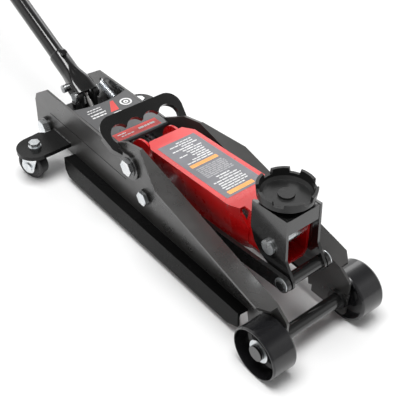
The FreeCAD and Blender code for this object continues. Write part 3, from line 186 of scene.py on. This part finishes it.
def moulded(name, colour, rough, grain_scale=300.0, grain=0.08):
    """Moulded plastic or rubber with a faint texture."""
    s = Shader(name, Specular_IOR_Level=0.5, Coat_Weight=0.25 if rough < 0.3 else 0.0, Coat_Roughness=0.1)
    blotch = s.noise(16.0, 5.0)
    fine = s.noise(grain_scale, 4.0)
    base = s.mix(s.span(blotch, 0.35, 0.7), scaled(colour, 0.8), scaled(colour, 1.25))
    worn = s.maths("MULTIPLY", s.edges(), 0.35)
    s.to_shader(s.mix(worn, base, scaled(colour, 3.0)), "Base Color")
    s.to_shader(s.span(blotch, 0.3, 0.75, rough - 0.04, rough + 0.07), "Roughness")
    s.to_shader(s.bump(fine, grain, 0.3 * MM).outputs["Normal"], "Normal")
    return s.material


MATERIALS = {
    "black_paint": paint("black_enamel", (0.010, 0.010, 0.010), (0.09, 0.088, 0.085),
                         rough=0.14, coat=0.5),
    "red_paint": paint("red_enamel", (0.50, 0.002, 0.003), (0.70, 0.04, 0.03), rough=0.26, coat=0.25),
    "cover_paint": paint("grey_enamel", (0.045, 0.045, 0.048), (0.2, 0.2, 0.2), rough=0.3, coat=0.3),
    "zinc": plated("bright_zinc", (0.80, 0.81, 0.82), (0.66, 0.70, 0.72)),
    "wheel_black": moulded("wheel_black", (0.009, 0.009, 0.010), 0.16, 500.0, 0.03),
    "caster_black": moulded("caster_black", (0.016, 0.016, 0.017), 0.34),
    "cast_black": casting("painted_casting", (0.011, 0.011, 0.011)),
    "steel": plated("ground_steel", (0.58, 0.57, 0.56), (0.48, 0.47, 0.46), rough=0.24),
    "spring_steel": plated("zinc_wire", (0.74, 0.76, 0.78), (0.60, 0.64, 0.68), rough=0.26),
    "rubber": moulded("grip_rubber", (0.012, 0.012, 0.012), 0.62, 700.0, 0.15),
}
# Black enamel of the side plates, with a base three times lighter than the other black parts: real black
# paint plus a painted sheen that stands in for the pale floor the glossy webs mirror.
PLATE_SHEEN_PAINT = paint("plate_enamel_painted_sheen", (0.030, 0.029, 0.028), (0.09, 0.088, 0.085),
                    rough=0.28, coat=0.0, shine=1.0)
# A darker, duller copy of the black enamel for the caster brackets: painted shade in place of the bright
# backdrop their tops would mirror.
PERCH_SHADE_PAINT = paint("perch_enamel_painted_shade", (0.007, 0.007, 0.007), (0.06, 0.06, 0.06),
                    rough=0.16, coat=0.1, shine=0.22)
# A near-black, almost unreflective copy of the plate enamel: painted shade for the foot rails, which stand in
# for the shadowed floor they mirror close beside the jack, and for the pressed creases.
PLATE_SHADE_PAINT = paint("rail_and_crease_painted_shade", (0.005, 0.005, 0.005), (0.05, 0.05, 0.05),
                   rough=0.24, coat=0.0, shine=0.05)
DECAL = {
    "panel": moulded("label_grey", (0.14, 0.14, 0.155), 0.38),
    "pale": moulded("print_white", (0.62, 0.62, 0.62), 0.4),
    "grey": moulded("print_grey", (0.30, 0.30, 0.31), 0.4),
    "orange": moulded("print_orange", (0.80, 0.33, 0.08), 0.4),
    "red": moulded("print_red", (0.58, 0.045, 0.04), 0.4),
}
SLOT_OF = {entry["node"]: entry["material_slot"] for entry in frame["record"]["subparts"]}
RAIL_TOP = 49.5 * MM     # faces of a side plate below this height and
RAIL_OUTSIDE = 60 * MM   # further out than this belong to its foot rail
EDGE_RADIUS = {"caster_bracket_right": 2.4, "caster_bracket_left": 2.4, "handle_socket": 2.0,
               "carry_handle": 1.0, "saddle": 1.0, "saddle_bracket": 1.2, "lift_arm": 1.5}
PLAIN_EDGE_RADIUS = 0.5


def dress_cad_nodes():
    """Give every CAD node its material, a small edge radius and smooth round faces."""
    for name, piece in frame["nodes"].items():
        piece.data.materials.clear()
        if "side_plate" in name:
            piece.data.materials.append(PLATE_SHEEN_PAINT)
            piece.data.materials.append(PLATE_SHADE_PAINT)
            # faces of the foot rail take the painted-shade copy of the plate enamel
            for face in piece.data.polygons:
                face.material_index = int(face.center.z < RAIL_TOP and abs(face.center.y) > RAIL_OUTSIDE)
        else:
            # the caster brackets take the painted-shade copy of the black enamel
            piece.data.materials.append(PERCH_SHADE_PAINT if "caster_bracket" in name else MATERIALS[SLOT_OF[name]])
        bevel = piece.modifiers.new("edge_radius", "BEVEL")
        bevel.width = EDGE_RADIUS.get(name, PLAIN_EDGE_RADIUS) * MM
        bevel.segments = 2
        bevel.limit_method = "ANGLE"
        bevel.angle_limit = math.radians(35)
        bevel.harden_normals = True
        for face in piece.data.polygons:
            face.use_smooth = True


# ---- small pieces ---------------------------------------------------------------------------

# The arm's top face: distance ahead of its pivot, and height, in mm.
ARM_TOP = ((13, 166.5), (32, 168), (110, 172), (185, 176.5), (206, 177.5), (240, 178.5))
ARM_X = -335    # the arm's pivot from the front axle


def arm_top(x):
    """Height of the arm's top face, in mm, x mm from the front axle."""
    ahead = x - ARM_X
    for (a, low), (b, high) in zip(ARM_TOP, ARM_TOP[1:]):
        if ahead <= b:
            return low + (high - low) * (ahead - a) / (b - a)
    return ARM_TOP[-1][1]


def cover_top(_x):
    """Height of the flat cover's top face, in mm, the same at every x."""
    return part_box("top_cover")[1].z / MM


def add_piece(name, mesh, body):
    """Put a mesh in the scene with its material slot, on its body if it has one."""
    piece = bpy.data.objects.new(name, mesh)
    bpy.context.scene.collection.objects.link(piece)
    if body:
        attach(piece, body)
    return piece


def mesh_piece(name, vertices, faces, material, body):
    """A piece from points in mm, x from the front axle."""
    mesh = bpy.data.meshes.new(name)
    mesh.from_pydata([(AXLE.x + x * MM, y * MM, z * MM) for x, y, z in vertices], [], faces)
    mesh.update()
    mesh.materials.append(material)
    return add_piece(name, mesh, body)


FILM_T = 0.25    # thickness of a printed film


def film(name, patches, height, lift, material, body):
    """Thin printed patches, each a list of (x, y) corners, laid on a surface of that height."""
    vertices, faces = [], []
    for corners in patches:
        first, count = len(vertices), len(corners)
        for drop in (0.0, FILM_T):
            vertices += [(x, y, height(x) + lift - drop) for x, y in corners]
        faces.append(tuple(range(first, first + count)))
        for i in range(count):
            j = (i + 1) % count
            faces.append((first + i, first + count + i, first + count + j, first + j))
    return mesh_piece(name, vertices, faces, material, body)


def box_patch(x0, x1, y0, y1, breaks=()):
    """A rectangle, cut where the surface below it bends."""
    edges = [x0] + [b for b in breaks if x0 < b < x1] + [x1]
    return [[(a, y0), (b, y0), (b, y1), (a, y1)] for a, b in zip(edges, edges[1:])]


def dashes(x, y0, y1, deep):
    """A row of strokes across the width that reads as small print and says nothing."""
    row, y = [], y0
    while y < y1 - 2:
        end = min(y1, y + random.uniform(3.5, 11))
        row += box_patch(x - deep / 2, x + deep / 2, y, end)
        y = end + 1.3
    return row


def arm_label():
    """A generic label on the arm: a panel, rows of strokes in place of print, and two strips."""
    bends = [ARM_X + station for station, _ in ARM_TOP]
    film("arm_label_panel", box_patch(-297, -139.5, -33.5, 33.5, bends), arm_top, 0.25, DECAL["panel"],
         "arm")
    rows = ((-290, -5, 24), (-284.5, -20, 21), (-279, -3, 25), (-273.5, -23, 14), (-268, -9, 25),
            (-262.5, -6, 22), (-257, -23, -9), (-257, -3, 24), (-251.5, -4, 20), (-246.5, 0, 22),
            (-241.5, -12, 21), (-236.5, -24, 21), (-187, -13, 11), (-181.5, -12, 22), (-176, -26, 22),
            (-170.5, -22, 20), (-165.5, -22, 22), (-160.5, -24, 21), (-155.5, -22, 12))
    print_rows = [patch for x, a, b in rows for patch in dashes(x, a, b, 2.1)]
    film("arm_label_print", print_rows, arm_top, 0.4, DECAL["pale"], "arm")
    small_rows, first_row, row_gap = 7, -218, 4.1
    small_print = [patch for i in range(small_rows)
                   for patch in dashes(first_row + row_gap * i, -24, 24, 2.4)]
    film("arm_label_small_print", small_print, arm_top, 0.4, DECAL["grey"], "arm")
    strips = box_patch(-231.5, -224.5, -25.5, 22.5, bends) + box_patch(-151, -143.8, -25, 20, bends)
    film("arm_label_strips", strips, arm_top, 0.4, DECAL["orange"], "arm")


def ring_patches(x, y, outer, inner, count=40):
    """A flat ring round (x, y), as a closed run of patches."""
    turns = [2 * math.pi * i / count for i in range(count + 1)]
    points = [(math.cos(turn), math.sin(turn)) for turn in turns]
    return [[(x + outer * a[0], y + outer * a[1]), (x + outer * b[0], y + outer * b[1]),
             (x + inner * b[0], y + inner * b[1]), (x + inner * a[0], y + inner * a[1])]
            for a, b in zip(points, points[1:])]


def cover_marks():
    """Generic marks on the cover: strokes, a target of two rings, a red wedge and a red band."""
    rows = ((-490, -36, -11, 2.0), (-483.5, -39, -12, 2.0), (-475, -38, -10, 3.0), (-468, -39, -11, 3.0),
            (-459.5, -3, 11, 4.0))
    pale = [patch for x, a, b, deep in rows for patch in dashes(x, a, b, deep)]
    pale += ring_patches(-478, 32, 10.5, 7.6) + ring_patches(-478, 32, 4.2, 2.0)
    film("cover_print", pale, cover_top, 0.2, DECAL["pale"], "frame")
    tower = [[(-494, 10.5), (-466, -5.0), (-466, 10.5), (-494, 16.5)]]
    band = box_patch(-409.0, -389.5, -41.5, 41)
    film("cover_red_marks", tower + band, cover_top, 0.2, DECAL["red"], "frame")
    words = dashes(-403, -35, -17, 2.0) + dashes(-397, -31, -8, 2.2) + dashes(-399.5, 3, 34, 4.2)
    film("cover_band_print", words, cover_top, 0.35, DECAL["pale"], "frame")


def wire(name, paths, radius, material, body):
    """Round wire along smooth paths, each a list of points in mm."""
    curve = bpy.data.curves.new(name, "CURVE")
    curve.dimensions = "3D"
    curve.bevel_depth = radius * MM
    curve.bevel_resolution = 4
    curve.use_fill_caps = True
    for path in paths:
        spline = curve.splines.new("NURBS")
        spline.points.add(len(path) - 1)
        for point, (x, y, z) in zip(spline.points, path):
            point.co = (AXLE.x + x * MM, y * MM, z * MM, 1.0)
        spline.order_u = 3
        spline.use_endpoint_u = True
        spline.resolution_u = 8
    line = bpy.data.objects.new(name + "_line", curve)
    bpy.context.scene.collection.objects.link(line)
    bpy.context.view_layer.update()
    mesh = bpy.data.meshes.new_from_object(line.evaluated_get(bpy.context.evaluated_depsgraph_get()))
    bpy.data.objects.remove(line)
    mesh.name = name
    mesh.materials.clear()
    mesh.materials.append(material)
    for face in mesh.polygons:
        face.use_smooth = True
    return add_piece(name, mesh, body)


def helix(start, end, radius, pitch, steps=12):
    """Points of a coil from start to end."""
    along = (end - start).normalized()
    across = along.orthogonal().normalized()
    up = along.cross(across)
    count = int((end - start).length / pitch * steps)
    points = []
    for i in range(count + 1):
        turn = 2 * math.pi * i / steps
        at = start.lerp(end, i / count) + radius * (math.cos(turn) * across + math.sin(turn) * up)
        points.append(tuple(at))
    return points


RETURN_SPRING_Y = 36           # each return spring from the middle
SPRING_PIN_Z = 94              # height of the pins on the arm, below its pivot
HOOK_RADIUS = 4.2
RETURN_WIRE, HANDLE_WIRE = 1.0, 1.25
HANDLE_COIL_RADIUS, HANDLE_COIL_PITCH = 6.3, 3.1


def spring_hooks():
    """The drawn-out ends of the springs: round the pins on the arm, and through the side plate."""
    front, rear = [], []
    for side in (-RETURN_SPRING_Y, RETURN_SPRING_Y):
        loop = [(ARM_X + HOOK_RADIUS * math.cos(a), side, SPRING_PIN_Z + HOOK_RADIUS * math.sin(a))
                for a in (math.radians(90 - 45 * i) for i in range(6))]
        front.append([(-362, side, 99), (-358, side, 98.6), (-352, side, 98.2), (-345, side, 98.4),
                      (-340, side, 98.6)] + loop)
        rear.append([(-458, side, 99), (-462, side, 98), (-466, side, 94), (-470, side, 90), (-474, side, 92),
                     (-473, side, 97)])
    steel = MATERIALS["spring_steel"]
    hooks = wire("return_spring_front_hooks", front, RETURN_WIRE, steel, None)
    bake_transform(hooks)
    wire("return_spring_rear_hooks", rear, RETURN_WIRE, steel, "frame")
    plate_end = [(-578, 57, 110), (-581, 59, 111), (-583, 57, 114), (-582, 52, 116.5), (-579, 48, 120),
                 (-575, 44, 124)]
    low_end = [(-523, 41, 112), (-519, 41, 111), (-516, 40, 108), (-513, 38, 105), (-510, 36, 106)]
    coils = helix(Vector((-567, 41, 122.4)), Vector((-527, 41, 112.7)),
                  HANDLE_COIL_RADIUS, HANDLE_COIL_PITCH)
    spring = wire("handle_spring_coil", [plate_end + coils + low_end], HANDLE_WIRE, steel, "frame")
    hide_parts("handle_spring")


def bead(start, end, bulge):
    """A hand-laid weld: the path wavers and the bead swells with each dab of metal."""
    count = max(6, int((Vector(end) - Vector(start)).length / 2.2))
    points, radii = [], []
    for i in range(count + 1):
        at = Vector(start).lerp(Vector(end), i / count)
        points.append((at.x, at.y, at.z + random.uniform(-0.25, 0.25)))
        radii.append(bulge * random.uniform(0.8, 1.15) * (0.6 if i in (0, count) else 1.0))
    return points, radii


LEAN = math.radians(25)    # handle above level
PIVOT = (-554, 125)        # handle pivot: x from the front axle, and height
SOCKET_SIDES = 48
SOCKET_R, SOCKET_T = 16.5, 2.2


def on_handle(across, y, along):
    """A point of the handle, from its own axes: along it from the pivot, and across towards its top."""
    return (PIVOT[0] + across * math.sin(LEAN) - along * math.cos(LEAN), y,
            PIVOT[1] + across * math.cos(LEAN) + along * math.sin(LEAN))


def socket_ring(along, inset):
    """Outline of the socket: round above, and squeezed into a channel with soft corners below."""
    press = min(1.0, max(0.0, (54 - along) / 38))
    press = press * press * (3 - 2 * press)
    points = []
    for i in range(SOCKET_SIDES):
        turn = 2 * math.pi * i / SOCKET_SIDES
        c, d = math.cos(turn), math.sin(turn)
        square = [math.copysign(abs(v) ** 0.42, v) for v in (c, d)]
        x = (1 - press) * SOCKET_R * c + press * (3.1 + 13.1 * square[0])
        y = (1 - press) * SOCKET_R * d + press * 20 * square[1]
        groove = math.exp(-((along - 40) / 11) ** 2) * math.exp(-(y / 5) ** 2) * (2.2 if x > 0 else 0.0)
        centre = press * 3.1
        length = math.hypot(x - centre, y)
        shrink = (length - inset - groove) / length
        points.append((centre + (x - centre) * shrink, y * shrink))
    return points


def handle_socket():
    """The pressed tube over the pivot lugs, open behind, with two rounded lugs on the pivot."""
    stops = [91, 90, 84, 76, 68, 60, 54, 50, 46, 42, 38, 34, 30, 26, 22, 18, 12, 4, -3, -4]
    vertices, faces, count = [], [], SOCKET_SIDES
    for inset, order in ((0.0, stops), (SOCKET_T, stops[::-1])):
        for along in order:
            lip = 0.8 if along in (stops[0], stops[-1]) and inset == 0.0 else 0.0
            vertices += [on_handle(x, y, along) for x, y in socket_ring(along, inset + lip)]
    rings = len(vertices) // count
    open_stop = stops.index(26)
    for i in range(rings):
        for k in range(count):
            turn = 2 * math.pi * (k + 0.5) / count
            behind = math.cos(turn) < -0.55
            if behind and open_stop <= i < rings - 1 - open_stop:
                continue
            a, b = i * count + k, i * count + (k + 1) % count
            c, d = (b + count) % (rings * count), (a + count) % (rings * count)
            faces.append((a, b, c, d))
    for side in (-1, 1):
        first = len(vertices)
        turns = [math.radians(t) for t in range(180, 361, 12)]
        rim = [(12 * math.cos(turn), 12 * math.sin(turn)) for turn in turns]
        rim += [(12, 22), (-4, 34), (-12, 22)]
        for y in (16.2, 20):
            vertices += [on_handle(x, side * y, along) for x, along in rim]
        n = len(rim)
        faces += [tuple(range(first, first + n)), tuple(range(first + 2 * n - 1, first + n - 1, -1))]
        faces += [(first + i, first + (i + 1) % n, first + n + (i + 1) % n, first + n + i) for i in range(n)]
    piece = mesh_piece("handle_socket_tube", vertices, faces, MATERIALS["black_paint"],
                       "handle_base")
    for face in piece.data.polygons:
        face.use_smooth = len(face.vertices) == 4
    bevel = piece.modifiers.new("edge_radius", "BEVEL")
    bevel.width, bevel.segments, bevel.limit_method = 0.6 * MM, 2, "ANGLE"
    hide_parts("handle_socket")


def plate_creases():
    """The fine pressed line along the rear part of each side plate, in the painted-shade paint: a dark strip
    standing in for the shade in the fold.
    """
    vertices, faces = [], []
    for side in (-1, 1):
        for x, z in ((-588, 90.0), (-470, 90.0), (-352, 90.0)):
            reach = 54.3 + (x + 640) * 0.009
            for y, rise in ((reach - 0.2, 0.7), (reach + 0.45, 0.0), (reach - 0.2, -0.7)):
                vertices.append((x, side * y, z + rise))
        first = len(vertices) - 9
        for i in (0, 3):
            for k in (0, 1):
                a = first + i + k
                faces.append((a, a + 1, a + 4, a + 3))
        faces += [(first, first + 1, first + 2), (first + 6, first + 7, first + 8)]
    mesh_piece("side_plate_creases", vertices, faces, PLATE_SHADE_PAINT, "frame")


def welds():
    """Weld beads where the caster brackets meet the side plates."""
    vertices, faces, around = [], [], 10
    runs = [bead((-578, side * 55.4, 62), (-524, side * 55.9, 62), 2.3) for side in (-1, 1)]
    for points, radii in runs:
        first = len(vertices)
        for (x, y, z), radius in zip(points, radii):
            for k in range(around):
                turn = 2 * math.pi * k / around
                vertices.append((x, y + radius * math.cos(turn), z + radius * 0.8 * math.sin(turn)))
        for i in range(len(points) - 1):
            for k in range(around):
                a, b = first + i * around + k, first + i * around + (k + 1) % around
                faces.append((a, b, b + around, a + around))
        faces.append(tuple(range(first, first + around)))
        faces.append(tuple(range(len(vertices) - around, len(vertices))))
    piece = mesh_piece("caster_bracket_welds", vertices, faces, MATERIALS["black_paint"],
                       "frame")
    for face in piece.data.polygons:
        face.use_smooth = True


# ---- stage, light and camera ----------------------------------------------------------------

FLOOR_HALF = 40.0    # metres


def floor():
    """A wide pale floor."""
    mesh = bpy.data.meshes.new("floor")
    corners = [(x * FLOOR_HALF, y * FLOOR_HALF, 0) for x, y in ((-1, -1), (1, -1), (1, 1), (-1, 1))]
    mesh.from_pydata(corners, [], [(0, 1, 2, 3)])
    plane = bpy.data.objects.new("floor", mesh)
    bpy.context.scene.collection.objects.link(plane)
    s = Shader("floor_paint", Roughness=0.6, Specular_IOR_Level=0.2)
    s.to_shader(s.mix(s.noise(2.0), (0.80, 0.80, 0.80), (0.84, 0.84, 0.84)), "Base Color")
    mesh.materials.append(s.material)


def soft_light(name, place, aim, size, power):
    """A rectangular area light, in metres and watts."""
    data = bpy.data.lights.new(name, "AREA")
    data.shape = "RECTANGLE"
    data.size, data.size_y = size
    data.energy = power
    light = bpy.data.objects.new(name, data)
    light.location = place
    light.rotation_euler = (Vector(aim) - Vector(place)).to_track_quat("-Z", "Y").to_euler()
    bpy.context.scene.collection.objects.link(light)


# Brightness of the world from straight down (0) to straight up (1).
SKY_STEPS = ((0.0, 1.0), (0.42, 1.0), (0.62, 1.1), (0.72, 0.6), (0.84, 0.12), (1.0, 0.08))
BRIGHT_SIDE = (-0.8, 0.6, 0.0)


def studio():
    """A white surround that is darker overhead, with a light above and a weak one behind."""
    world = bpy.data.worlds.new("studio")
    world.use_nodes = True
    bpy.context.scene.world = world
    tree = world.node_tree
    sky = tree.nodes.new("ShaderNodeTexCoord")
    split = tree.nodes.new("ShaderNodeSeparateXYZ")
    ramp = tree.nodes.new("ShaderNodeValToRGB")
    tree.links.new(sky.outputs["Generated"], split.inputs[0])
    tree.links.new(split.outputs["Z"], ramp.inputs[0])
    ramp.color_ramp.elements[1].position = 1.0
    for place, _ in SKY_STEPS[1:-1]:
        ramp.color_ramp.elements.new(place)
    for element, (place, grey) in zip(ramp.color_ramp.elements, SKY_STEPS):
        element.position = place
        element.color = (grey, grey, grey, 1.0)
    background = tree.nodes["Background"]
    aside = tree.nodes.new("ShaderNodeVectorMath")
    aside.operation = "DOT_PRODUCT"
    aside.inputs[1].default_value = BRIGHT_SIDE
    tree.links.new(sky.outputs["Generated"], aside.inputs[0])
    side = tree.nodes.new("ShaderNodeMapRange")
    for socket, value in (("From Min", -0.8), ("From Max", 0.8), ("To Min", 0.3), ("To Max", 1.15)):
        side.inputs[socket].default_value = value
    tree.links.new(aside.outputs["Value"], side.inputs["Value"])
    tree.links.new(ramp.outputs[0], background.inputs["Color"])
    tree.links.new(side.outputs[0], background.inputs["Strength"])
    soft_light("over", (0.5, -0.35, 2.6), (0.2, 0, 0.1), (1.7, 1.3), 78)
    soft_light("rim", (-1.2, 1.7, 1.5), (0.1, 0, 0.1), (1.2, 0.8), 6)


CAMERA_BACK = Vector((0.598, -0.479, 0.642)).normalized()    # from the target to the eye
CAMERA_DISTANCE = 1.1605
CAMERA_LENS = 69.65
CAMERA_TARGET = (AXLE.x - 0.2378, -0.0013, 0.0934)


def camera():
    data = bpy.data.cameras.new("camera")
    data.lens = CAMERA_LENS
    data.sensor_width = 36
    eye = bpy.data.objects.new("camera", data)
    eye.location = Vector(CAMERA_TARGET) + CAMERA_BACK * CAMERA_DISTANCE
    eye.rotation_euler = CAMERA_BACK.to_track_quat("Z", "Y").to_euler()
    bpy.context.scene.collection.objects.link(eye)
    bpy.context.scene.camera = eye


dress_cad_nodes()
arm_label()
cover_marks()
spring_hooks()
handle_socket()
plate_creases()
welds()
floor()
studio()
camera()
bpy.context.scene.view_settings.view_transform = "Standard"
